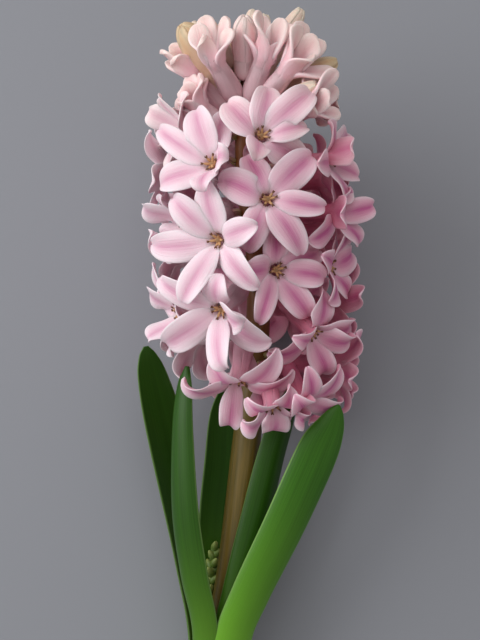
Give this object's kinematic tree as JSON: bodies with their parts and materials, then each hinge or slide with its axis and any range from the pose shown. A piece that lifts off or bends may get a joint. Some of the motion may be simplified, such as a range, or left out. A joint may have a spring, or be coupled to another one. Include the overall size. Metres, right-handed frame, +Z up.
{
  "type": "hyacinth flower",
  "caption": "Pale pink hyacinth as picked: a dense spike of star florets on a fleshy scape with strap leaves and a small second spike, lying on its back.",
  "frame": {"origin": "middle of the bounding box on the surface that the flower lies on", "axes": "+Y runs up the scape from the cut foot to the tip of the spike, +X is the right of the flower's front, +Z points up, the way the front of the flower faces as it lies on its back"},
  "size_m": [0.0832, 0.2548, 0.0853],
  "materials": {
    "petal": "satin",
    "bud": "satin",
    "scape": "satin",
    "leaf": "satin",
    "green_buds": "satin"
  },
  "bodies": {
    "root": {"scape": "scape", "leaf_right": "leaf", "leaf_left_inner": "leaf", "leaf_left_outer": "leaf", "leaf_back_left": "leaf", "leaf_inner_right": "leaf", "second_spike": "green_buds", "floret_01": "petal", "floret_02": "petal", "floret_03": "petal", "floret_04": "petal", "floret_05": "petal", "floret_06": "petal", "floret_07": "petal", "floret_08": "petal", "floret_09": "petal", "floret_10": "petal", "floret_11": "petal", "floret_12": "petal", "floret_13": "petal", "floret_14": "petal", "floret_15": "petal", "floret_16": "petal", "floret_17": "petal", "floret_18": "petal", "floret_19": "petal", "floret_20": "petal", "floret_21": "petal", "floret_22": "petal", "floret_23": "petal", "floret_24": "petal", "floret_25": "petal", "floret_26": "petal", "floret_27": "petal", "floret_28": "petal", "floret_29": "petal", "floret_30": "petal", "floret_31": "petal", "floret_32": "petal", "floret_33": "petal", "floret_34": "petal", "floret_35": "petal", "floret_36": "petal", "floret_37": "petal", "floret_38": "petal", "floret_39": "petal", "floret_40": "petal", "bud_01": "bud", "bud_02": "bud", "bud_03": "bud", "bud_04": "bud", "bud_05": "bud", "bud_06": "bud", "bud_07": "bud", "bud_08": "bud", "bud_09": "bud", "bud_10": "bud", "bud_11": "bud", "bud_12": "bud", "crown": "bud"}
  },
  "joints": []
}
